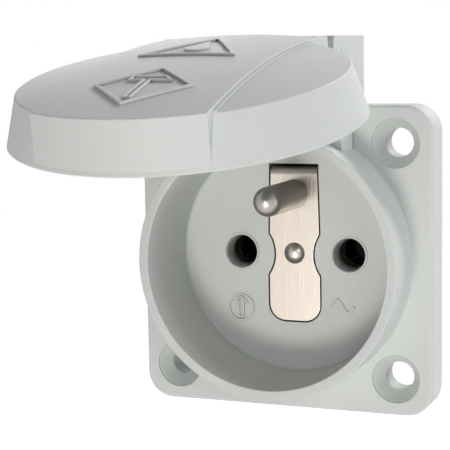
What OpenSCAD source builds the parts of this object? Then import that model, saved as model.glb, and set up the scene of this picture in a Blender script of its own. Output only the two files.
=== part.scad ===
// Flanged industrial panel socket with a round collar, an earth pin and a hinged lid.
// The mounting plane is y = 0, the front looks along minus y and the hinge is at the top, plus z.

/* [Flange] */
// Width and height of the square flange
flange_w = 50; // [48:0.5:56]
// Thickness of the flange
flange_t = 6.4; // [5.6:0.2:9]
// Radius of the flange corners in front view
flange_corner_r = 4.4; // [3:0.1:7]
// Rounding of the front edge of the flange
flange_edge_r = 0.5; // [0.3:0.1:1.6]
// Distance of the fixing holes from the edges of the flange
fixing_inset = 6; // [5.2:0.1:6.4]
// Diameter of the fixing holes
fixing_d = 4.7; // [4:0.1:5.4]
// Diameter of the countersinks at the front
countersink_d = 8; // [6.4:0.1:9]
// Depth of the countersinks
countersink_depth = 2.5; // [1.5:0.1:3.5]
// Width of the seal in the rear face
seal_w = 1.5; // [1.1:0.1:1.7]
// Depth of the seal in the rear face
seal_t = 1.4; // [0.8:0.1:2]

/* [Collar] */
// Distance from the collar to the edges of the flange
collar_inset = 3.3; // [2.9:0.1:3.6]
// Height of the collar in front of the flange
collar_h = 9.6; // [8.4:0.2:12]
// Thickness of the collar at its mouth
collar_wall = 1.55; // [1.2:0.05:1.9]
// Narrowing of the recess from mouth to floor, on the radius
recess_draft = 0.3; // [0.1:0.1:0.6]
// Depth of the recess floor behind the front of the flange
floor_depth = 5.5; // [4.6:0.1:6]
// Thickness of the recess floor
floor_t = 2.2; // [1.8:0.1:3]
// Fillet where the collar leaves the flange
collar_fillet = 0.3; // [0.2:0.1:1.2]

/* [Contacts] */
// Distance between the two contact holes
contact_pitch = 19; // [18.6:0.1:19.4]
// Diameter of the contact holes in the recess floor
contact_hole_d = 5.5; // [5.3:0.1:5.8]
// Bore of the contact sleeves
contact_bore_d = 4.9; // [4.85:0.01:5]
// Wall of the contact sleeves
contact_wall = 0.85; // [0.6:0.05:1]
// Length of the contact sleeves
contact_len = 10; // [8:0.2:10.6]
// Diameter of the earth pin
pin_d = 4.8; // [4.6:0.05:4.9]
// Height of the earth pin above the middle of the recess
pin_z = 10; // [9.4:0.1:10.4]
// Length of the earth pin in front of the recess floor
pin_len = 14.7; // [12:0.1:15]

/* [Earth strap] */
// Width of the earth strap
strap_w = 8.9; // [8.4:0.1:9.2]
// Thickness of the earth strap
strap_t = 1.2; // [0.8:0.1:1.4]
// Lower end of the strap below the middle of the recess
strap_bottom = 11.5; // [10:0.1:12.4]
// Outer face of the strap's rearward leg above the middle
strap_top = 14.8; // [14.4:0.1:15.2]
// How much each side of the strap draws in from the middle of the waist to the bend
strap_taper = 0.35; // [0:0.05:0.6]
// How far each side of the strap is cut in at the waist
waist_depth = 1.15; // [0.6:0.05:1.3]
// Half the height of the waist
waist_half = 3.6; // [3.4:0.1:4.4]
// Height of the middle of the waist
waist_z = -0.2; // [-0.6:0.1:0.4]
// Radius of the strap's lower corners
strap_corner_r = 2.8; // [1.6:0.1:3.4]
// Gap round the strap in the recess floor
strap_gap = 0.27; // [0.15:0.01:0.4]
// Diameter of the rivet dome
rivet_d = 3.6; // [3:0.1:4.2]

/* [Hinge] */
// Width of the hinge bracket
bracket_w = 24; // [22:0.2:25]
// Front of the bracket's block in front of the flange
bracket_h = 5.9; // [5:0.1:6.1]
// Height of the hinge axis above the flange
hinge_rise = 7.8; // [7.2:0.1:9.4]
// Hinge axis in front of the flange
hinge_h = 6.4; // [6.2:0.1:7]
// Radius of the hinge eyes and of the lid's knuckle
knuckle_r = 3.25; // [3:0.05:3.5]
// Thickness of each hinge eye
ear_t = 2.1; // [1.3:0.1:2.3]
// Rounding of the upper front corner of each hinge eye
ear_corner_r = 0.8; // [0.6:0.1:1.6]
// Diameter of the hinge pin
hinge_pin_d = 2.4; // [1.6:0.1:2.6]

/* [Lid] */
// Rim of the closed lid in front of the flange
lid_gap = 4.4; // [3.6:0.1:5.2]
// Gap between the collar and the lid's side wall
lid_clearance = 0.5; // [0.4:0.05:0.8]
// Thickness of the lid's side wall at its top
lid_wall = 0.9; // [0.8:0.05:1.4]
// How far the lid's rim stays inside the sides of the flange
lid_inset = 0; // [0:0.05:0.6]
// Thickness of the lid over its seal
lid_plate_t = 0.8; // [0.7:0.1:1.4]
// Rise of the domed top
dome_rise = 2; // [1.2:0.1:2.4]
// Width of the raised band across the lid
band_w = 24.4; // [22:0.2:25]
// Height of each of the two steps from the domed top up to the band
band_step = 0.25; // [0.15:0.05:0.4]
// Width of the ledge between the two steps
band_ledge = 0.4; // [0.2:0.05:0.6]
// Rounding of the lid's upper edge
lid_edge_r = 0.2; // [0.1:0.05:0.5]
// Thickness of the seal inside the lid
lid_seal_t = 0.7; // [0.5:0.1:1]
// Angle of the open lid from its closed position
lid_angle = 78.1; // [60:0.1:90]

/* [Rear] */
// How far the skirt stays inside the collar, on the radius
skirt_inset = 0.5; // [0.2:0.1:0.8]
// Length of the skirt behind the flange
skirt_len = 10; // [9.4:0.1:12]
// Wall of the skirt
skirt_wall = 1.6; // [1.2:0.1:2]
// Length of the rear block behind the skirt
block_len = 14; // [13:0.2:17]
// Width of the terminal clamps
clamp_w = 7; // [6:0.1:7.4]
// Diameter of the wire holes in the clamps
wire_d = 3.4; // [2.6:0.1:3.6]

/* [Hidden] */
$fn = 96;
eps = 0.01;

// Colours as seen
grey = [0.80, 0.82, 0.80];
insert_dark = [0.15, 0.15, 0.16];
rubber = [0.13, 0.13, 0.13];
steel = [0.78, 0.76, 0.72];
pin_steel = [0.35, 0.34, 0.33];
brass = [0.80, 0.66, 0.36];

// Planes along y
front_y = -flange_t;
rim_y = front_y - collar_h;
floor_y = front_y + floor_depth;
floor_back = floor_y + floor_t;
collar_r = flange_w / 2 - collar_inset;
mouth_r = collar_r - collar_wall;
floor_r = mouth_r - recess_draft;
rim_round = 0.2;
floor_fillet = 0.5;
skirt_r = collar_r - skirt_inset;
skirt_in_r = skirt_r - skirt_wall;
fixing_pitch = flange_w - 2 * fixing_inset;
mouth_depth = 0.25;
mouth_ledge = 0.1;
join = 0.4;

// Seal groove of the flange
groove_slack = 0.03;
groove_inset = 0.8;
groove_r = skirt_r + groove_inset;

// Strap and what passes through it
bend_r = strap_t + 0.4;
bend_w = strap_w - 2 * strap_taper;
strap_back = floor_y + strap_t;
leg_half = 2.6;
leg_reach = 6;
leg_end = skirt_len + leg_reach;
pin_slack = 0.03;
pin_step = 0.5;
shank_r = pin_d / 2 - pin_step;
pin_head_r = pin_d / 2 + 0.6;
rivet_shank_r = rivet_d / 3;
rivet_rise = rivet_d / 4;
tail_t = 0.8;

// Insert behind the floor
insert_slack = 0.12;
carrier_r = skirt_in_r - insert_slack;
lip_r = contact_bore_d / 2;
lip_t = 0.8;
contact_r = contact_bore_d / 2 + contact_wall;
contact_y = floor_back + lip_t;
contact_end = contact_y + contact_len;
collar_len = 2;
contact_floor = 1.4;
slit_y = contact_y + collar_len + 0.4;
slit_end = contact_end - contact_floor - 1.2;
slit_w = 0.6;
stub_set = 1.8;
stub_slack = 0.05;
collet_wall = 0.35;
ring_y = contact_y + contact_len * 0.55;
ring_w = 1.6;
ring_t = 0.45;
stub_r = 1.5;
boss_r = 3;
boss_inset = 3.34;
boss_x = (skirt_in_r - boss_inset) * cos(45);
pilot_r = 1.1;
pilot_floor = 0.6;
tip_gap = 1.4;
shoulder_t = 2;
block_inset = 3.7;
block_r = skirt_r - block_inset;
block_back = skirt_len + block_len;
clamp_set = 4;
clamp_y = skirt_len + clamp_set;
clamp_len = 8;
clamp_slack = 0.3;
clamp_fit = 0.02;
earth_clamp_z = strap_top - strap_t / 2 - 2;
wire_y = clamp_y + clamp_len / 2 + 0.2;
screw_r = 1.7;
screw_head_r = 2.7;
screw_head_t = 1.8;
insert_screw_r = 1.05;

// Hinge
hinge_y = front_y - hinge_h;
bracket_y = front_y - bracket_h;
bracket_low = mouth_r - 6;
web_t = 2.2;
pocket_depth = 6;
pocket_z = flange_w / 2 + 2.5;
pocket_roof = 1.55;
hinge_z = flange_w / 2 + hinge_rise;
hinge_gap = 0.4;
ear_top = hinge_z + knuckle_r;
knuckle_half = bracket_w / 2 - ear_t - hinge_gap;
pin_fit = 0.05;
hinge_pin_inset = 0.1;

// Lid, drawn closed with heights measured from its rim plane
lid_y = front_y - lid_gap;
seal_slack = 0.2;
seal_fit = 0.1;
rib_w = 0.6;
rib_h = 0.5;
crown_extra = 0.3;
lid_seat = collar_h - lid_gap + seal_slack + lid_seal_t;
lid_h = lid_seat + lid_plate_t;
lid_in_r = collar_r + lid_clearance;
lid_top_r = lid_in_r + lid_wall;
lid_rim_r = flange_w / 2 - lid_inset;
lid_rim_in_r = lid_rim_r - lid_wall - 0.5;
band_top_r = lid_rim_r - 0.45;
band_foot = [lid_rim_r - 0.15, 0.6];
ledge_r = lid_top_r - 0.1;
lid_seal_r = collar_r + 0.25;
lid_seal_in_r = mouth_r - 0.35;
notch_half = bracket_w / 2 + 0.35;
notch_y = bracket_y - 0.35;
neck_z = hinge_z - knuckle_r - 0.65;

// Points along an arc, both ends included
function arc(cx, cy, r, a0, a1, n) =
    [for (i = [0 : n]) [cx + r * cos(a0 + (a1 - a0) * i / n), cy + r * sin(a0 + (a1 - a0) * i / n)]];

// Height of a dome of the given rise over a radius, at distance x from its middle
function dome_z(x, r, rise) = let (s = (r * r + rise * rise) / (2 * rise)) rise - s + sqrt(s * s - x * x);

// Half outline of a dome over radius r at height h, from radius r0 in to a small flat middle
function dome_line(r0, r, h, rise) = let (n = 10, line = [for (i = [0 : n - 1])
    [r0 * (1 - i / n), h + dome_z(r0 * (1 - i / n), r, rise)]]) concat(line, [[0, line[n - 1].y]]);

// Turns a profile drawn as [radius, y] about the y axis
module turned() {
    rotate([-90, 0, 0]) rotate_extrude() children();
}

// Extrudes a profile drawn as [x, z] from y0 to y1
module along_y(y0, y1) {
    translate([0, y1, 0]) rotate([90, 0, 0]) linear_extrude(y1 - y0) children();
}

// Extrudes a profile drawn as [y, z] over a width centred on x
module along_x(w) {
    translate([-w / 2, 0, 0]) rotate([90, 0, 90]) linear_extrude(w) children();
}

// Round bar or hole along y
module rod_y(x, z, y0, y1, r) {
    translate([x, y0, z]) rotate([-90, 0, 0]) cylinder(h = y1 - y0, r = r);
}

// Round bar or hole along x, centred
module rod_x(y, z, w, r) {
    translate([-w / 2, y, z]) rotate([0, 90, 0]) cylinder(h = w, r = r);
}

module at_fixings() {
    for (x = [-1, 1], z = [-1, 1]) translate([x * fixing_pitch / 2, 0, z * fixing_pitch / 2]) children();
}

module rounded_square(w, r) {
    square([w - 2 * r, w], center = true);
    square([w, w - 2 * r], center = true);
    for (x = [-1, 1], y = [-1, 1]) translate([x * (w / 2 - r), y * (w / 2 - r)]) circle(r = r);
}

// Front layer of the flange with its rounded edge
module flange_front() {
    k = flange_w / 2 - flange_corner_r;
    edge = arc(flange_corner_r - flange_edge_r, front_y + flange_edge_r, flange_edge_r, 0, -90, 5);
    hull() {
        for (x = [-k, k], z = [-k, k]) translate([x, 0, z])
            turned($fn = 32) polygon(concat([[0, front_y + flange_edge_r]], edge, [[0, front_y]]));
    }
}

// Collar, recess floor and rear skirt in one profile
function shell_profile() = concat(
    [[0, floor_y]],
    arc(floor_r - floor_fillet, floor_y - floor_fillet, floor_fillet, 90, 0, 4),
    arc(mouth_r + rim_round, rim_y + rim_round, rim_round, 180, 270, 4),
    arc(collar_r - rim_round, rim_y + rim_round, rim_round, 270, 360, 4),
    arc(collar_r + collar_fillet, front_y - collar_fillet, collar_fillet, 180, 90, 5),
    [[collar_r + collar_fillet, front_y + join], [skirt_r, front_y + join], [skirt_r, skirt_len]],
    [[skirt_in_r, skirt_len], [skirt_in_r, floor_back], [0, floor_back]]
);

// Outline of the earth strap in front view, grown by a gap
module strap_outline(gap) {
    half = strap_w / 2 + gap;
    neck = half - strap_taper;
    low = -strap_bottom - gap;
    corner = strap_corner_r + gap;
    waist_r = (waist_half * waist_half + waist_depth * waist_depth) / (2 * waist_depth) - gap;
    difference() {
        union() {
            polygon([
                [-half, low + corner], [half, low + corner], [half, waist_z],
                [neck, strap_top - bend_r], [-neck, strap_top - bend_r], [-half, waist_z]
            ]);
            translate([-half + corner, low]) square([2 * half - 2 * corner, corner + eps]);
            for (x = [-1, 1]) translate([x * (half - corner), low + corner]) circle(r = corner);
        }
        for (x = [-1, 1]) translate([x * (half - waist_depth + waist_r), waist_z]) circle(r = waist_r);
    }
}

// Block and hinge eyes above the collar
module hinge_bracket() {
    difference() {
        along_x(bracket_w) union() {
            translate([bracket_y, bracket_low]) square([-bracket_y, ear_top - bracket_low]);
            translate([hinge_y, hinge_z]) circle(r = knuckle_r);
            translate([hinge_y - knuckle_r, hinge_z]) square([knuckle_r, knuckle_r - ear_corner_r]);
            translate([hinge_y - knuckle_r + ear_corner_r, ear_top - ear_corner_r]) circle(r = ear_corner_r);
            translate([hinge_y - knuckle_r + ear_corner_r, hinge_z])
                square([knuckle_r - ear_corner_r - hinge_y, knuckle_r]);
        }
        rod_y(0, 0, rim_y - 1, 1, collar_r - 2 * join);
        rod_x(hinge_y, hinge_z, bracket_w - 2 * ear_t, knuckle_r + hinge_gap);
        translate([ear_t - bracket_w / 2, hinge_y - knuckle_r - 1, hinge_z])
            cube([bracket_w - 2 * ear_t, knuckle_r + 1, knuckle_r + 1]);
        rod_x(hinge_y, hinge_z, bracket_w + 1, hinge_pin_d / 2 + 0.01);
        for (x = [web_t - bracket_w / 2, web_t]) translate([x, -pocket_depth, pocket_z])
            cube([bracket_w / 2 - 2 * web_t, pocket_depth + 1, ear_top - pocket_roof - pocket_z]);
    }
}

module front_housing() {
    color(grey) difference() {
        union() {
            difference() {
                union() {
                    along_y(front_y + flange_edge_r, 0) rounded_square(flange_w, flange_corner_r);
                    flange_front();
                }
                rod_y(0, 0, front_y - 1, 1, skirt_r - join);
            }
            turned() polygon(shell_profile());
            hinge_bracket();
            for (x = [-1, 1]) rod_y(x * boss_x, -boss_x, floor_back - eps, skirt_len, boss_r);
        }
        at_fixings() {
            rod_y(0, 0, front_y - 1, 1, fixing_d / 2);
            rod_y(0, 0, front_y - 1, front_y + mouth_depth, countersink_d / 2);
            translate([0, front_y + mouth_depth - eps, 0]) rotate([-90, 0, 0]) cylinder(
                h = countersink_depth - mouth_depth, r1 = countersink_d / 2 - mouth_ledge, r2 = fixing_d / 2
            );
        }
        turned() translate([groove_r, -seal_t]) square([seal_w + 2 * groove_slack, seal_t + 1]);
        along_y(floor_y - 1, strap_back) strap_outline(strap_gap);
        along_y(floor_y - 1, floor_back + 1) translate([-bend_w / 2 - strap_gap, strap_top - bend_r - eps])
            square([bend_w + 2 * strap_gap, bend_r + strap_gap]);
        for (x = [-1, 1]) translate([x * contact_pitch / 2, 0, 0]) turned() contact_hole();
        rod_y(0, pin_z, floor_y, floor_back + 1, shank_r + pin_slack);
        rod_y(0, 0, floor_y, floor_back + 1, rivet_shank_r + pin_slack);
        for (x = [-1, 1]) rod_y(x * boss_x, -boss_x, floor_back + pilot_floor, skirt_len + 1, pilot_r);
    }
}

// Contact hole with a rounded mouth
module contact_hole() {
    r = contact_hole_d / 2;
    lip = 0.45;
    polygon(concat(
        [[0, floor_y - 1], [r + lip, floor_y - 1]],
        arc(r + lip, floor_y + lip, lip, 270, 180, 4),
        [[r, floor_back + 1], [0, floor_back + 1]]
    ));
}

module flange_seal() {
    color(rubber) turned() translate([groove_r + groove_slack, -seal_t]) square([seal_w, seal_t]);
}

// Places what is drawn closed as it stands open
module opened() {
    translate([0, hinge_y, hinge_z]) rotate([-lid_angle, 0, 0]) translate([0, -hinge_y, -hinge_z]) children();
}

// Turns a profile drawn as [radius, height above the rim plane] about the closed lid's axis
module lid_turned() {
    translate([0, lid_y, 0]) rotate([90, 0, 0]) rotate_extrude() children();
}

// Outside of the lid above its rim, solid, from a foot on the wall to a domed top
module lid_outside(foot, top_r, h) {
    edge = lid_edge_r;
    round_top = arc(top_r - edge, h - edge, edge, 0, 60, 3);
    dome = dome_line(top_r - edge, top_r, h, dome_rise);
    lid_turned() polygon(concat([[0, foot.y], foot], round_top, dome));
}

// Hollow of the lid, stepped for its seal
module lid_hollow() {
    seat_r = lid_seal_in_r - seal_fit;
    rib_r = seat_r - rib_w;
    rise = dome_rise - crown_extra - seal_fit;
    lid_turned() polygon(concat(
        [[0, -1], [lid_rim_in_r + 0.2, -1], [lid_in_r, lid_seat], [seat_r, lid_seat]],
        [[seat_r, lid_seat - rib_h], [rib_r, lid_seat - rib_h]],
        dome_line(rib_r, rib_r, lid_seat + seal_fit, rise)
    ));
}

// Neck from the band to the knuckle, as a side profile and as a plan
module neck_profile(drop) {
    top = lid_y - lid_h - 2 * band_step + drop;
    polygon([
        [notch_y, mouth_r - 3], [notch_y, hinge_z], [hinge_y, hinge_z],
        [hinge_y - knuckle_r + drop, hinge_z], [top, lid_top_r - 1], [top, mouth_r - 3]
    ]);
}

module neck_plan() {
    r = band_w / 2 - knuckle_half;
    polygon(concat(
        [[-band_w / 2, 0], [band_w / 2, 0]],
        arc(knuckle_half, neck_z - r, r, 0, 90, 5),
        [[knuckle_half, hinge_z], [-knuckle_half, hinge_z]],
        arc(-knuckle_half, neck_z - r, r, 90, 180, 5)
    ));
}

// One layer of the raised band, cut to its width
module lid_band(w, foot, top_r, h) {
    intersection() {
        lid_outside(foot, top_r, h);
        along_y(rim_y - lid_h, front_y) square([w, 4 * lid_rim_r], center = true);
    }
}

module lid() {
    cheek = 1.5;
    color(grey) opened() difference() {
        union() {
            lid_outside([lid_rim_r, rim_round], lid_top_r, lid_h);
            lid_turned() polygon([[0, 0], [lid_rim_r - rim_round, 0], [lid_rim_r, rim_round], [0, rim_round]]);
            lid_band(band_w, band_foot, band_top_r, lid_h + 2 * band_step);
            lid_band(band_w + 2 * band_ledge, [ledge_r, band_foot.y], ledge_r, lid_h + band_step);
            intersection() {
                along_x(band_w + 1) neck_profile(0);
                along_y(rim_y - lid_h, front_y) neck_plan();
            }
            rod_x(hinge_y, hinge_z, 2 * knuckle_half, knuckle_r);
        }
        lid_hollow();
        translate([-notch_half, notch_y, bracket_low])
            cube([2 * notch_half, lid_gap, lid_rim_r - bracket_low + 1]);
        difference() {
            along_x(2 * knuckle_half - 2 * cheek) neck_profile(lid_plate_t + 0.6);
            rod_y(0, 0, rim_y - lid_h, 0, lid_rim_r + 0.3);
            rod_x(hinge_y, hinge_z, bracket_w, knuckle_r + 0.5);
        }
        rod_x(hinge_y, hinge_z, bracket_w, hinge_pin_d / 2 + pin_fit);
    }
}

module lid_seal() {
    color(rubber) opened() lid_turned() translate([lid_seal_in_r, lid_seat - lid_seal_t])
        square([lid_seal_r - lid_seal_in_r, lid_seal_t]);
}

module hinge_pin() {
    color(steel) rod_x(hinge_y, hinge_z, bracket_w - 2 * hinge_pin_inset, hinge_pin_d / 2);
}

module earth_strap() {
    z1 = strap_top - bend_r;
    color(steel) difference() {
        union() {
            along_y(floor_y, strap_back) strap_outline(0);
            along_x(bend_w) translate([floor_y + bend_r, z1]) intersection() {
                difference() {
                    circle(r = bend_r);
                    circle(r = bend_r - strap_t);
                }
                translate([-bend_r, 0]) square(bend_r);
            }
            translate([0, 0, strap_top - strap_t]) linear_extrude(strap_t) polygon([
                [-bend_w / 2, floor_y + bend_r], [bend_w / 2, floor_y + bend_r], [bend_w / 2, floor_back + 1],
                [leg_half, floor_back + 3], [leg_half, leg_end], [-leg_half, leg_end],
                [-leg_half, floor_back + 3], [-bend_w / 2, floor_back + 1]
            ]);
        }
        rod_y(0, pin_z, floor_y - 1, strap_back + 1, shank_r + pin_slack);
        rod_y(0, 0, floor_y - 1, strap_back + 1, rivet_shank_r + pin_slack);
    }
}

module earth_pin() {
    tip_y = floor_y - pin_len + pin_d / 2;
    color(pin_steel) union() {
        rod_y(0, pin_z, tip_y, floor_y, pin_d / 2);
        translate([0, tip_y, pin_z]) sphere(d = pin_d);
        rod_y(0, pin_z, floor_y - eps, floor_back + tail_t, shank_r);
        rod_y(0, pin_z, floor_back, floor_back + tail_t, pin_head_r);
    }
}

module strap_rivet() {
    r = rivet_d / 2;
    dome = [for (p = dome_line(r, r, 0, rivet_rise)) [p.x, floor_y - p.y]];
    color(steel) union() {
        turned() polygon(concat([[0, floor_y]], dome));
        rod_y(0, 0, floor_y - eps, floor_back + tail_t, rivet_shank_r);
        rod_y(0, 0, floor_back, floor_back + tail_t, r);
    }
}

// Hole for a contact sleeve, with a rounded lip in front
module sleeve_seat() {
    lip = 0.5;
    seat_r = contact_r + 0.05;
    ring_seat_r = contact_r + ring_t + 0.3;
    polygon(concat(
        [[0, floor_back - 1], [lip_r + lip, floor_back - 1]],
        arc(lip_r + lip, floor_back + lip, lip, 270, 180, 4),
        [[lip_r, contact_y], [seat_r, contact_y], [seat_r, contact_y + collar_len]],
        [[ring_seat_r, contact_y + collar_len], [ring_seat_r, skirt_len + 1], [0, skirt_len + 1]]
    ));
}

module contact_carrier() {
    color(insert_dark) difference() {
        rod_y(0, 0, floor_back, skirt_len, carrier_r);
        for (x = [-1, 1]) translate([x * contact_pitch / 2, 0, 0]) turned() sleeve_seat();
        for (x = [-1, 1]) rod_y(x * boss_x, -boss_x, 0, skirt_len + 1, boss_r + insert_slack);
        rod_y(0, pin_z, 0, floor_back + tail_t + 0.2, pin_head_r + 0.2);
        rod_y(0, 0, 0, floor_back + tail_t + 0.2, rivet_d / 2 + 0.2);
        along_y(0, skirt_len + 1) translate([-bend_w / 2 - strap_gap, strap_top - strap_t - strap_gap])
            square([bend_w + 2 * strap_gap, strap_t + 2 * strap_gap]);
    }
}

// Contact sleeve with four spring fingers and a rear stub
module contact_sleeve(side) {
    color(brass) translate([side * contact_pitch / 2, 0, 0]) difference() {
        union() {
            rod_y(0, 0, contact_y, contact_y + collar_len, contact_r);
            rod_y(0, 0, contact_y + collar_len - eps, contact_end, contact_r - collet_wall);
            rod_y(0, 0, contact_end - eps, clamp_y + stub_set, stub_r);
        }
        rod_y(0, 0, contact_y - 1, contact_end - contact_floor, contact_bore_d / 2);
        for (a = [45, 135]) rotate([0, a, 0]) translate([-contact_r - 1, slit_y, -slit_w / 2])
            cube([2 * contact_r + 2, slit_end - slit_y, slit_w]);
    }
}

module left_contact() {
    contact_sleeve(-1);
}

module right_contact() {
    contact_sleeve(1);
}

// Open spring ring round the fingers
module contact_ring(side) {
    r = contact_r - collet_wall + 0.02;
    color(steel) translate([side * contact_pitch / 2, 0, 0]) difference() {
        turned() translate([r, ring_y]) square([ring_t, ring_w]);
        translate([-0.4, ring_y - 1, 0]) cube([0.8, ring_w + 2, contact_r + 2]);
    }
}

module left_contact_ring() {
    contact_ring(-1);
}

module right_contact_ring() {
    contact_ring(1);
}

// Screw clamp for one wire, bored crosswise for the wire and lengthwise for the screw
module clamp(x, z) {
    color(brass) translate([x, 0, z]) difference() {
        translate([-clamp_w / 2, clamp_y, -clamp_w / 2]) cube([clamp_w, clamp_len, clamp_w]);
        translate([0, wire_y, -clamp_w]) cylinder(h = 2 * clamp_w, r = wire_d / 2);
        rod_y(0, 0, wire_y, clamp_y + clamp_len + 1, screw_r + clamp_fit);
        children();
    }
}

module left_clamp() {
    clamp(-contact_pitch / 2, 0) rod_y(0, 0, clamp_y - 1, clamp_y + stub_set + stub_slack, stub_r + clamp_fit);
}

module right_clamp() {
    clamp(contact_pitch / 2, 0) rod_y(0, 0, clamp_y - 1, clamp_y + stub_set + stub_slack, stub_r + clamp_fit);
}

module earth_clamp() {
    slot_z = strap_top - strap_t - clamp_fit - earth_clamp_z;
    clamp(0, earth_clamp_z) translate([-leg_half - clamp_fit, clamp_y - 1, slot_z])
        cube([2 * (leg_half + clamp_fit), leg_end - clamp_y + 1 + clamp_fit, strap_t + 2 * clamp_fit]);
}

// Slotted screw along y with its head at the rear
module screw(x, z, y0, y1, r, head_r) {
    color(steel) translate([x, 0, z]) difference() {
        union() {
            rod_y(0, 0, y0, y1 + eps, r);
            turned() polygon([
                [0, y1], [head_r, y1], [head_r, y1 + screw_head_t - 0.4],
                [head_r - 0.4, y1 + screw_head_t], [0, y1 + screw_head_t]
            ]);
        }
        translate([-head_r - 1, y1 + screw_head_t - 0.8, -0.35]) cube([2 * head_r + 2, 2, 0.7]);
    }
}

module terminal_screw(x, z) {
    screw(x, z, wire_y + wire_d / 2 - 0.6, clamp_y + clamp_len + 0.3, screw_r, screw_head_r);
}

module left_screw() {
    terminal_screw(-contact_pitch / 2, 0);
}

module right_screw() {
    terminal_screw(contact_pitch / 2, 0);
}

module earth_screw() {
    terminal_screw(0, earth_clamp_z);
}

// Chamber for a clamp, open to the rear, with a slot for its wire
module clamp_chamber(x, z, wire_side) {
    half = clamp_w / 2 + clamp_slack;
    slot = wire_d / 2 + 0.2;
    translate([x - half, clamp_y, z - half]) cube([2 * half, block_len, 2 * half]);
    translate([x - slot, wire_y - slot, wire_side > 0 ? z : z - block_r])
        cube([2 * slot, block_len, block_r]);
}

module rear_block() {
    color(insert_dark) difference() {
        union() {
            rod_y(0, 0, skirt_len, skirt_len + shoulder_t, skirt_r);
            rod_y(0, 0, skirt_len, block_back, block_r);
        }
        for (x = [-1, 1]) {
            clamp_chamber(x * contact_pitch / 2, 0, -1);
            rod_y(x * contact_pitch / 2, 0, skirt_len - 1, contact_end + 0.3, contact_r + 0.2);
            rod_y(x * contact_pitch / 2, 0, skirt_len - 1, clamp_y + 1, stub_r + 0.1);
            rod_y(x * boss_x, -boss_x, skirt_len - 1, block_back + 1, insert_screw_r + 0.2);
            rod_y(x * boss_x, -boss_x, skirt_len + shoulder_t, block_back + 1, boss_r);
        }
        clamp_chamber(0, earth_clamp_z, 1);
        along_y(skirt_len - 1, clamp_y + 1) translate([-leg_half - strap_gap, strap_top - strap_t - strap_gap])
            square([2 * leg_half + 2 * strap_gap, strap_t + 2 * strap_gap]);
    }
}

// Screw that holds the rear block to a boss behind the floor
module insert_screw(x) {
    screw(x, -boss_x, floor_back + pilot_floor + tip_gap, skirt_len + shoulder_t, insert_screw_r, boss_r - 0.4);
}

module left_insert_screw() {
    insert_screw(-boss_x);
}

module right_insert_screw() {
    insert_screw(boss_x);
}

front_housing();
flange_seal();
lid();
lid_seal();
hinge_pin();
earth_strap();
earth_pin();
strap_rivet();
contact_carrier();
left_contact();
right_contact();
left_contact_ring();
right_contact_ring();
left_clamp();
right_clamp();
earth_clamp();
left_screw();
right_screw();
earth_screw();
rear_block();
left_insert_screw();
right_insert_screw();
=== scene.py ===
"""Grey flanged panel socket with a round collar, an earth pin and a domed lid standing open.

Lengths written with mm are real millimetres. The mounting plane is y = 0, the front looks along minus y.
"""

import math

import bmesh
import bpy
from mathutils import Matrix, Vector


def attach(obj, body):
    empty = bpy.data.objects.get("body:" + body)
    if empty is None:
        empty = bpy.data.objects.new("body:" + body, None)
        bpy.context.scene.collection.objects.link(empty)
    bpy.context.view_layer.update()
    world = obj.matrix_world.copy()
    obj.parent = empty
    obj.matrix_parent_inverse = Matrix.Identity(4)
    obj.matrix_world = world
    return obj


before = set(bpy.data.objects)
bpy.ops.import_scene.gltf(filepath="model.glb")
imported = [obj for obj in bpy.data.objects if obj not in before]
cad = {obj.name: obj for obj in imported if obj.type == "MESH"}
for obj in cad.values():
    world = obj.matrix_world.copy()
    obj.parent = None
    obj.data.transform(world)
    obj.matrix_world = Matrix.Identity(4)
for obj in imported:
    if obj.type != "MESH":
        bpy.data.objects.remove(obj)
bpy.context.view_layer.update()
scene = bpy.context.scene


# ---- The view of the photograph ----
# A long lens a little above the socket and to its right, turned one degree about its axis.
# Its place comes from the flange's corners, the rims, the fixing holes and the contact holes.

camera = bpy.data.objects.new("camera", bpy.data.cameras.new("camera"))
camera.data.sensor_width = 36
camera.data.lens = 115.846
camera.data.clip_start = 0.01
right = Vector((0.92707548, 0.37447785, -0.017245))
up = Vector((-0.03108587, 0.12263844, 0.99196446))
back = Vector((0.37358361, -0.91908985, 0.12533606))
stand = Matrix.Translation((0.079817, -0.227997, 0.03533))
camera.matrix_world = stand @ Matrix((right, up, back)).transposed().to_4x4()
scene.collection.objects.link(camera)
scene.camera = camera


# ---- Studio ----
# White paper floor well below the socket, which hangs in the air as it would on its panel.
# Soft lamps in front and low in front, others round the right side, two behind, and a little plain light.

mm = 0.001


def hex_colour(code):
    """Linear colour of an sRGB hex code."""
    parts = [int(code[i : i + 2], 16) / 255 for i in (0, 2, 4)]
    return (*[c / 12.92 if c <= 0.04045 else ((c + 0.055) / 1.055) ** 2.4 for c in parts], 1)


def blank(kind, name):
    """A new world or material, and its node tree with nothing in it."""
    made = kind.new(name)
    made.use_nodes = True
    made.node_tree.nodes.clear()
    return made, made.node_tree


def put(tree, kind, inputs=None, **settings):
    """Adds a node; inputs gives each socket a value or the socket that feeds it."""
    node = tree.nodes.new(kind)
    for name, value in settings.items():
        setattr(node, name, value)
    for name, value in (inputs or {}).items():
        if isinstance(value, bpy.types.NodeSocket):
            tree.links.new(value, node.inputs[name])
        else:
            node.inputs[name].default_value = value
    return node


def seen_directly(tree):
    """1 on camera, glossy and transmission rays, which see white instead of the studio's own light."""
    rays = put(tree, "ShaderNodeLightPath").outputs
    some = rays["Is Camera Ray"]
    for kind in ("Is Glossy Ray", "Is Transmission Ray"):
        some = put(tree, "ShaderNodeMath", {0: some, 1: rays[kind]}, operation="MAXIMUM").outputs[0]
    return some


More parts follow.
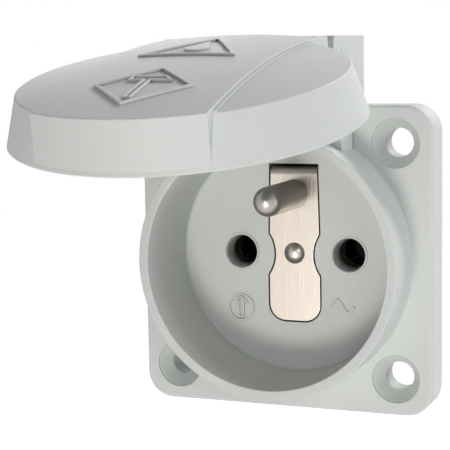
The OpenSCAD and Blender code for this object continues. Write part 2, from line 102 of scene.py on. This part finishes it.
world, tree = blank(bpy.data.worlds, "studio")
plain = put(tree, "ShaderNodeBackground", {"Color": hex_colour("F7F9F8"), "Strength": 0.16})
white = put(tree, "ShaderNodeBackground", {"Color": (1, 1, 1, 1), "Strength": 1})
both = put(tree, "ShaderNodeMixShader", {0: seen_directly(tree), 1: plain.outputs[0], 2: white.outputs[0]})
put(tree, "ShaderNodeOutputWorld", {"Surface": both.outputs[0]})
scene.world = world
scene.view_settings.view_transform = "Standard"

floor_z = -400 * mm
half = 3000 * mm
floor_mesh = bpy.data.meshes.new("floor")
corners = [(-half, -half, floor_z), (half, -half, floor_z), (half, half, floor_z), (-half, half, floor_z)]
floor_mesh.from_pydata(corners, [], [(0, 1, 2, 3)])
floor = bpy.data.objects.new("floor", floor_mesh)
scene.collection.objects.link(floor)
paper, tree = blank(bpy.data.materials, "white paper")
matt = put(tree, "ShaderNodeBsdfDiffuse", {"Color": hex_colour("E6E8E8")})
glow = put(tree, "ShaderNodeEmission", {"Color": (1, 1, 1, 1), "Strength": 0.9})
lit = put(tree, "ShaderNodeAddShader", {0: matt.outputs[0], 1: glow.outputs[0]})
shown = put(tree, "ShaderNodeMixShader", {0: seen_directly(tree), 1: matt.outputs[0], 2: lit.outputs[0]})
put(tree, "ShaderNodeOutputMaterial", {"Surface": shown.outputs[0]})
floor_mesh.materials.append(paper)


def lamp(name, place, watts, colour="FFFFFF", size=0.4):
    """Square soft lamp at a place in metres, looking at the middle of the flange."""
    data = bpy.data.lights.new(name, "AREA")
    data.shape, data.size, data.energy, data.color = "SQUARE", size, watts, hex_colour(colour)[:3]
    lamp_object = bpy.data.objects.new(name, data)
    lamp_object.location = place
    lamp_object.rotation_euler = (Vector() - Vector(place)).to_track_quat("-Z", "Y").to_euler()
    scene.collection.objects.link(lamp_object)


lamp("low", (0, -0.94, -0.342), 4.8, "FFFDFB", 0.25)
lamp("front", (0, -1.5, 0), 2.35, "FFFDFB")
lamp("front_right", (0.705, -1.221, 0.513), 2.2)
lamp("right", (1.477, -0.26, 0), 2.4)
lamp("high_right", (1.359, 0, 0.634), 5.6)
lamp("behind_above", (0.575, 0.995, 0.964), 14.5)
lamp("behind_left", (-0.705, 1.221, 0.513), 2.0)


# ---- Housing ----
# Flange, collar, recess and rear skirt in one moulding of glass-filled polyamide, light grey.
# The mould is spark-eroded, which leaves an even, fine, matt grain with barely any sheen. The real
# grain is about 0.1 mm apart, and is drawn twice as coarse to show.

noise_low, noise_high = 0.3, 0.7  # between these lie most values of a noise


def painted_shade_and_edge_light(tree, colour, reach, dark, light=1.0):
    """The colour, times dark where a wall within reach closes it in, as painted shade, and times light along
    free edges, as a painted highlight.
    """
    deep, beside, bare = 0.25, 0.75, 0.95  # how much sky a joint sees, a face beside a wall, and a free one
    turned, straight = 0.8, 0.98  # how alike the rounded and the sharp surface face at an edge, and off it
    # Painted shade: the colour darkens where walls nearby would shade it.
    open_sky = put(tree, "ShaderNodeAmbientOcclusion", {"Distance": reach}, samples=6).outputs["AO"]
    painted_shade = put(tree, "ShaderNodeMapRange", {0: open_sky, 1: deep, 2: beside, 3: dark, 4: 1.0})
    # Painted highlight: the colour lightens along edges, where the bevel's rounded normal turns away from the
    # flat one.
    rounded = put(tree, "ShaderNodeBevel", {"Radius": reach / 3}, samples=4).outputs[0]
    plane = put(tree, "ShaderNodeNewGeometry").outputs["Normal"]
    alike = put(tree, "ShaderNodeVectorMath", {0: rounded, 1: plane}, operation="DOT_PRODUCT").outputs["Value"]
    painted_edge_light = put(tree, "ShaderNodeMapRange", {0: alike, 1: turned, 2: straight, 3: light, 4: 1.0})
    free = put(tree, "ShaderNodeMapRange", {0: open_sky, 1: beside, 2: bare, 3: 0.0, 4: 1.0})
    share = put(tree, "ShaderNodeMix", {0: free.outputs[0], 2: painted_shade.outputs[0], 3: painted_edge_light.outputs[0]})
    colours = {0: 1.0, 6: colour, 7: share.outputs[0]}
    return put(tree, "ShaderNodeMix", colours, data_type="RGBA", blend_type="MULTIPLY").outputs[2]


def moulded(name, code, rough, joints=0.25, grain=0.22 * mm, depth=0.012 * mm):
    """Moulded plastic: bump grain, a faint cloud of tone, painted shade in its creases, and painted highlights
    along its free edges.
    """
    cloud_size, cloudy, speckle, uneven = 9 * mm, 0.94, 0.035, 0.06
    material, tree = blank(bpy.data.materials, name)
    place = put(tree, "ShaderNodeTexCoord").outputs["Object"]
    grains = {"Vector": place, "Scale": 1 / grain, "Detail": 2.0, "Roughness": 0.6}
    fine = put(tree, "ShaderNodeTexNoise", grains)
    clouds = {"Vector": place, "Scale": 1 / cloud_size, "Detail": 3.0, "Roughness": 0.5}
    cloud = put(tree, "ShaderNodeTexNoise", clouds)
    full = hex_colour(code)
    faint = tuple(c * cloudy for c in full[:3]) + (1,)
    tone = put(tree, "ShaderNodeMix", {0: cloud.outputs[0], 6: faint, 7: full}, data_type="RGBA")
    spread = {0: fine.outputs[0], 1: noise_low, 2: noise_high}
    speck = put(tree, "ShaderNodeMapRange", {**spread, 3: 1 - speckle, 4: 1 + speckle})
    colours = {0: 1.0, 6: tone.outputs[2], 7: speck.outputs[0]}
    speckled = put(tree, "ShaderNodeMix", colours, data_type="RGBA", blend_type="MULTIPLY")
    sheen = put(tree, "ShaderNodeMapRange", {**spread, 3: rough - uneven, 4: rough + uneven})
    edges = put(tree, "ShaderNodeBevel", {"Radius": 0.06 * mm}, samples=4)
    relief = {"Height": fine.outputs[0], "Distance": depth, "Strength": 1.0, "Normal": edges.outputs[0]}
    # The colour carries painted shade in creases and a painted highlight, 1.35 times as light, along free
    # edges.
    surface = {
        "Base Color": painted_shade_and_edge_light(tree, speckled.outputs[2], 0.45 * mm, joints, 1.35),
        "Roughness": sheen.outputs[0],
        "Normal": put(tree, "ShaderNodeBump", relief).outputs[0],
        "IOR": 1.5,
        "Specular IOR Level": 0.35,
    }
    shader = put(tree, "ShaderNodeBsdfPrincipled", surface)
    put(tree, "ShaderNodeOutputMaterial", {"Surface": shader.outputs[0]})
    return material


def dress(node, material):
    """Gives a CAD node its finish."""
    cad[node].data.materials.clear()
    cad[node].data.materials.append(material)


# Its creases take painted shade down to 0.06 of its colour, and its free edges a painted highlight.
housing_plastic = moulded("glass-filled polyamide, spark-eroded", "CED1CE", 0.55, 0.06)
dress("front_housing", housing_plastic)


# ---- Seals ----
# Black EPDM rings, one in the flange's rear groove and one inside the lid.
# Cut rubber looks dull and slightly uneven.

rubber = moulded("EPDM rubber", "2A2B2C", 0.7, grain=0.3 * mm, depth=0.02 * mm)
for node in ("flange_seal", "lid_seal"):
    dress(node, rubber)


# ---- Earth contact ----
# Strap of nickel-plated steel let into the recess floor, with a turned pin riveted through it.
# Rolling leaves faint lengthwise lines in the strap. Where it bends back into its slot it is painted nearly
# black, a painted dark reflection.
# The pin has fine turning rings and dull flanks, and its tip is rubbed bright by plugs.


def metal(name, code, rough, stretch, depth, wear_and_painted_reflection=None, joints=0.5):
    """Metal with fine lines, stretch mm apart along x, y and z.

    rubbed gives two y in mm between which another tone grows, to stop at the second, that tone, and how much
    smoother the metal gets with it.
    """
    streaky, uneven, fade = 0.96, 0.03, 0.08
    material, tree = blank(bpy.data.materials, name)
    place = put(tree, "ShaderNodeTexCoord").outputs["Object"]
    scaled = put(tree, "ShaderNodeMapping", {"Vector": place, "Scale": tuple(1 / (s * mm) for s in stretch)})
    drawn = {"Vector": scaled.outputs[0], "Scale": 1.0, "Detail": 3.0, "Roughness": 0.55}
    lines = put(tree, "ShaderNodeTexNoise", drawn)
    full = hex_colour(code)
    faint = tuple(c * streaky for c in full[:3]) + (1,)
    tone = put(tree, "ShaderNodeMix", {0: lines.outputs[0], 6: faint, 7: full}, data_type="RGBA")
    spread = {0: lines.outputs[0], 1: noise_low, 2: noise_high}
    gloss = put(tree, "ShaderNodeMapRange", {**spread, 3: rough - uneven, 4: rough + uneven}).outputs[0]
    # The colour carries painted shade in its creases.
    colour = painted_shade_and_edge_light(tree, tone.outputs[2], 0.4 * mm, joints)
    # The band's tone is wear on the pin and in the contacts, and a painted dark reflection on the strap's bend.
    if wear_and_painted_reflection:
        start, end, other, smoother = wear_and_painted_reflection[0] * mm, wear_and_painted_reflection[1] * mm, *wear_and_painted_reflection[2:]
        along = put(tree, "ShaderNodeSeparateXYZ", {0: place}).outputs[1]
        grows = put(tree, "ShaderNodeMapRange", {0: along, 1: start, 2: end}).outputs[0]
        past = end + (end - start) * fade
        stops = put(tree, "ShaderNodeMapRange", {0: along, 1: end, 2: past, 3: 1.0, 4: 0.0}).outputs[0]
        band = put(tree, "ShaderNodeMath", {0: grows, 1: stops}, operation="MULTIPLY").outputs[0]
        tones = {0: band, 6: colour, 7: hex_colour(other)}
        colour = put(tree, "ShaderNodeMix", tones, data_type="RGBA").outputs[2]
        change = {0: band, 1: -smoother, 2: gloss}
        gloss = put(tree, "ShaderNodeMath", change, operation="MULTIPLY_ADD").outputs[0]
    edges = put(tree, "ShaderNodeBevel", {"Radius": 0.1 * mm}, samples=4)
    relief = {"Height": lines.outputs[0], "Distance": depth, "Strength": 1.0, "Normal": edges.outputs[0]}
    bump = put(tree, "ShaderNodeBump", relief).outputs[0]
    surface = {"Base Color": colour, "Metallic": 1.0, "Roughness": gloss, "Normal": bump}
    shader = put(tree, "ShaderNodeBsdfPrincipled", surface)
    put(tree, "ShaderNodeOutputMaterial", {"Surface": shader.outputs[0]})
    return material


recess_y = -0.9  # face of the recess floor, in mm, with which the strap is flush
# Painted dark reflection: the strap's bend, from the floor face back to 0.2 mm, is coloured nearly black.
painted_bend_reflection = (recess_y, 0.2, "141312", 0)
pin_tip = (-12.6, -16, "A29E99", 0.28)
rolled = metal("nickel-plated sheet steel, rolled", "CAC0B5", 0.25, (0.15, 2, 6), 0.0004 * mm, painted_bend_reflection)
turned = metal("nickel-plated steel, turned", "87827A", 0.55, (3, 0.12, 3), 0.001 * mm, pin_tip)
headed = metal("nickel-plated rivet", "B8B1A8", 0.3, (0.4, 0.4, 0.4), 0.0006 * mm)
dress("earth_strap", rolled)
dress("earth_pin", turned)
dress("strap_rivet", headed)


# ---- Contacts ----
# Brass sleeves behind the floor holes, each slit into four fingers that a steel ring pulls together.
# They have tarnished nearly black, with a paler zone that the plug's pins rub. The lip of the black
# insert round them is painted a lighter grey than the rear block, as painted light in the dim mouths of the
# holes.

rubbed_bore = (0.6, 4.9, "E9E4D8", 0.28)
tarnished = metal("tarnished brass", "2A2622", 0.5, (2, 0.15, 2), 0.003 * mm, rubbed_bore)
zinc = metal("zinc-plated steel", "A9ACAE", 0.36, (0.6, 0.6, 0.6), 0.006 * mm)
# Painted light: the insert's black plastic is drawn mid grey here, lighter than on the rear block.
dress("contact_carrier", moulded("glass-filled polyamide, black, painted lighter", "666967", 0.5, 0.8))
for side in ("left", "right"):
    dress(f"{side}_contact", tarnished)
    dress(f"{side}_contact_ring", zinc)


# ---- Terminals and rear block ----
# Clamps turned from brass with slotted screws in the chambers of the black rear block.
# The brass keeps its yellow shine back there, and the screws' zinc looks pale and slightly mottled.

brass = metal("turned brass", "C9A55C", 0.3, (2, 0.15, 2), 0.003 * mm)
dress("rear_block", moulded("glass-filled polyamide, black", "4A4C4B", 0.5, 0.8))
for name in ("left", "right", "earth"):
    dress(f"{name}_clamp", brass)
    dress(f"{name}_screw", zinc)
for side in ("left", "right"):
    dress(f"{side}_insert_screw", zinc)


# ---- Lid and hinge ----
# Domed cap of the housing's plastic, moulded with a raised band, turning on a drawn steel pin.
# The pin's cut end shows as a bright dot in the bracket's side.

wire = metal("drawn steel wire", "EDEDEA", 0.3, (3, 0.2, 0.2), 0.001 * mm, joints=1.0)
dress("lid", housing_plastic)
dress("hinge_pin", wire)


# ---- Moulded marks ----
# Raised pictograms cut into the mould, so they share the housing's plastic. The lid has a drop in a triangle
# and a hammer in a square on its corner. The recess floor has an arrow in a circle, a wave, and a fine ring
# round each contact hole.

# One tree raises a flat sketch to its height and lays it on a sphere that touches the sketch plane.
marks = bpy.data.node_groups.new("raised marks", "GeometryNodeTree")
marks.interface.new_socket("Geometry", in_out="INPUT", socket_type="NodeSocketGeometry")
for name in ("Height", "Sunk", "Sphere radius"):
    marks.interface.new_socket(name, in_out="INPUT", socket_type="NodeSocketFloat")
marks.interface.new_socket("Material", in_out="INPUT", socket_type="NodeSocketMaterial")
marks.interface.new_socket("Geometry", in_out="OUTPUT", socket_type="NodeSocketGeometry")
given = put(marks, "NodeGroupInput").outputs
sketch, radius = given["Geometry"], given["Sphere radius"]
rise = put(marks, "ShaderNodeMath", {0: given["Height"], 1: given["Sunk"]}, operation="ADD").outputs[0]
lift = {"Mesh": sketch, "Offset": (0, 0, 1), "Offset Scale": rise, "Individual": False}
raised = put(marks, "GeometryNodeExtrudeMesh", lift)
under = put(marks, "GeometryNodeFlipFaces", {"Mesh": sketch})
solid = put(marks, "GeometryNodeJoinGeometry")
marks.links.new(raised.outputs["Mesh"], solid.inputs[0])
marks.links.new(under.outputs[0], solid.inputs[0])
closed_up = put(marks, "GeometryNodeMergeByDistance", {"Geometry": solid.outputs[0], "Distance": 0.001 * mm})
# At x, y the sphere's surface has fallen by the radius less the root of radius² - x² - y².
spot = put(marks, "ShaderNodeSeparateXYZ", {0: put(marks, "GeometryNodeInputPosition").outputs[0]}).outputs
xx, yy, rr = [
    put(marks, "ShaderNodeMath", {0: length, 1: length}, operation="MULTIPLY").outputs[0]
    for length in (spot[0], spot[1], radius)
]
out = put(marks, "ShaderNodeMath", {0: xx, 1: yy}, operation="ADD").outputs[0]
left_over = put(marks, "ShaderNodeMath", {0: rr, 1: out}, operation="SUBTRACT").outputs[0]
root = put(marks, "ShaderNodeMath", {0: left_over}, operation="SQRT").outputs[0]
fall = put(marks, "ShaderNodeMath", {0: root, 1: radius}, operation="SUBTRACT").outputs[0]
drop = put(marks, "ShaderNodeMath", {0: fall, 1: given["Sunk"]}, operation="SUBTRACT").outputs[0]
shift = put(marks, "ShaderNodeCombineXYZ", {2: drop}).outputs[0]
laid = put(marks, "GeometryNodeSetPosition", {"Geometry": closed_up.outputs[0], "Offset": shift})
real = put(marks, "GeometryNodeRealizeInstances", {0: laid.outputs[0]})
done = put(marks, "GeometryNodeSetMaterial", {"Geometry": real.outputs[0], "Material": given["Material"]})
put(marks, "NodeGroupOutput", {0: done.outputs[0]})


def mark(name, draw, body, place, height, bevel, sphere=100):
    """Sketches a mark, raises it and lays it on a sphere in its place; the usual sphere is as good as flat."""
    flat = bmesh.new()
    draw(flat)
    mesh = bpy.data.meshes.new(name)
    flat.to_mesh(mesh)
    flat.free()
    maker = bpy.data.objects.new(name + "_sketch", mesh)
    scene.collection.objects.link(maker)
    nodes = maker.modifiers.new("marks", "NODES")
    nodes.node_group = marks
    ids = {item.name: item.identifier for item in marks.interface.items_tree if item.in_out == "INPUT"}
    values = {"Height": height, "Sunk": 0.15 * mm, "Sphere radius": sphere, "Material": housing_plastic}
    for key, value in values.items():
        nodes[ids[key]] = value
    edge = maker.modifiers.new("edge", "BEVEL")
    edge.width, edge.segments, edge.limit_method, edge.angle_limit = bevel, 2, "ANGLE", math.radians(50)
    shaped = bpy.data.meshes.new_from_object(maker.evaluated_get(bpy.context.evaluated_depsgraph_get()))
    bpy.data.objects.remove(maker)
    shaped.transform(place)
    piece = bpy.data.objects.new(name, shaped)
    scene.collection.objects.link(piece)
    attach(piece, body)


def sides_of(points, width, closed):
    """Both sides of a line of even width with mitred corners, cut short where they would be long."""
    sharpest = 0.3
    count = len(points)
    sides = ([], [])
    for i, here in enumerate(points):
        here = Vector(here)
        into = here - Vector(points[i - 1]) if closed or i else None
        out = Vector(points[(i + 1) % count]) - here if closed or i < count - 1 else None
        into, out = (into or out).normalized(), (out or into).normalized()
        across = Vector((-into.y - out.y, into.x + out.x)).normalized()
        reach = width / 2 / max(sharpest, across.dot(Vector((-into.y, into.x))))
        sides[0].append(here + across * reach)
        sides[1].append(here - across * reach)
    return sides


def line(bm, points, width, closed=True):
    """Draws a line on the sketch; points and width are in mm."""
    points = [(x * mm, y * mm) for x, y in points]
    rows = [[bm.verts.new((p.x, p.y, 0)) for p in side] for side in sides_of(points, width * mm, closed)]
    count = len(points)
    for i in range(count if closed else count - 1):
        j = (i + 1) % count
        bm.faces.new((rows[0][i], rows[1][i], rows[1][j], rows[0][j]))


def circle_points(x, y, r, count=48):
    """Points round a circle."""
    turns = [2 * math.pi * i / count for i in range(count)]
    return [(x + r * math.cos(a), y + r * math.sin(a)) for a in turns]


def divided(points, step=1.2):
    """A closed line with points no further apart than a step, so that it can follow the dome."""
    made = []
    for i in range(len(points)):
        a, b = Vector(points[i]), Vector(points[(i + 1) % len(points)])
        parts = max(1, math.ceil((b - a).length / step))
        made += [tuple(a.lerp(b, k / parts)) for k in range(parts)]
    return made


def draw_drop(bm):
    """A triangle with its tip up, and a solid drop in it, round below and pointed above."""
    line(bm, divided([(-6.9, 1.8), (6.9, 1.8), (0, 13.9)]), 0.45)
    r, middle, tip, steps = 1.75, 5.6, 10.6, 16
    lean = math.asin(r / (tip - middle))
    turns = [math.pi - lean + (math.pi + 2 * lean) * i / steps for i in range(steps + 1)]
    outline = [(0, tip)] + [(r * math.cos(a), middle + r * math.sin(a)) for a in turns]
    bm.faces.new([bm.verts.new((x * mm, y * mm, 0)) for x, y in outline])


def draw_hammer(bm):
    """A square on its corner, and the outline of a hammer in it with its head up."""
    x, y, half = 0.25, -13.3, 6.75
    line(bm, divided([(x - half, y), (x, y + half), (x + half, y), (x, y - half)]), 0.45)
    head = [(-2.45, -11.6), (-2.45, -10.2), (2.2, -10.2), (3.5, -11.6)]
    handle = [(0.55, -11.6), (0.55, -18), (-0.35, -18), (-0.35, -11.6)]
    line(bm, divided(head + handle), 0.34)


def draw_arrow(bm):
    """A circle, and the outline of an arrow pointing up in it."""
    x, y = -9.7, -9.65
    line(bm, circle_points(x, y, 2.2), 0.28)
    shape = [(-0.42, -1.6), (0.42, -1.6), (0.42, 0.9), (1.0, 0.9), (0, 1.85), (-1.0, 0.9), (-0.42, 0.9)]
    line(bm, [(x + a, y + b) for a, b in shape], 0.28)


def draw_wave(bm):
    """One turn of a sine wave, 4 mm long, open at both ends."""
    x, y, long, high, steps = 6.4, -8.6, 4, 1.1, 20
    along = [i / steps for i in range(steps + 1)]
    line(bm, [(x + long * t, y + high * math.sin(2 * math.pi * t)) for t in along], 0.4, closed=False)


def draw_hole_edges(bm):
    """A ring at the mouth of each contact hole."""
    for x in (-9.5, 9.5):
        line(bm, circle_points(x, 0, 3.02, 64), 0.3)


# The lid stands open by this angle about the hinge, and its dome is lid_top in front of its rim.
lid_turn = math.radians(78.1)
hinge = Vector((0, -12.8, 32.8)) * mm
rim_y, lid_top = -10.8 * mm, 9.4 * mm
dome_r, dome_rise = 24.55 * mm, 2 * mm
lid_sphere = (dome_r * dome_r + dome_rise * dome_rise) / (2 * dome_rise)
turned_open = Matrix.Translation(hinge) @ Matrix.Rotation(-lid_turn, 4, "X") @ Matrix.Translation(-hinge)
# Sketch x stays x, sketch y runs up, on the lid while it is shut, and sketch z looks out of the front.
upright = Matrix(((1, 0, 0, 0), (0, 0, -1, 0), (0, 1, 0, 0), (0, 0, 0, 1)))
on_lid = turned_open @ Matrix.Translation((0, rim_y - lid_top, 0)) @ upright
on_floor = Matrix.Translation((0, recess_y * mm, 0)) @ upright

mark("lid_mark_drop", draw_drop, "lid_body", on_lid, 0.38 * mm, 0.06 * mm, lid_sphere)
mark("lid_mark_hammer", draw_hammer, "lid_body", on_lid, 0.38 * mm, 0.06 * mm, lid_sphere)
mark("floor_mark_arrow", draw_arrow, "housing", on_floor, 0.2 * mm, 0.04 * mm)
mark("floor_mark_wave", draw_wave, "housing", on_floor, 0.2 * mm, 0.04 * mm)
mark("contact_hole_edges", draw_hole_edges, "housing", on_floor, 0.14 * mm, 0.03 * mm)
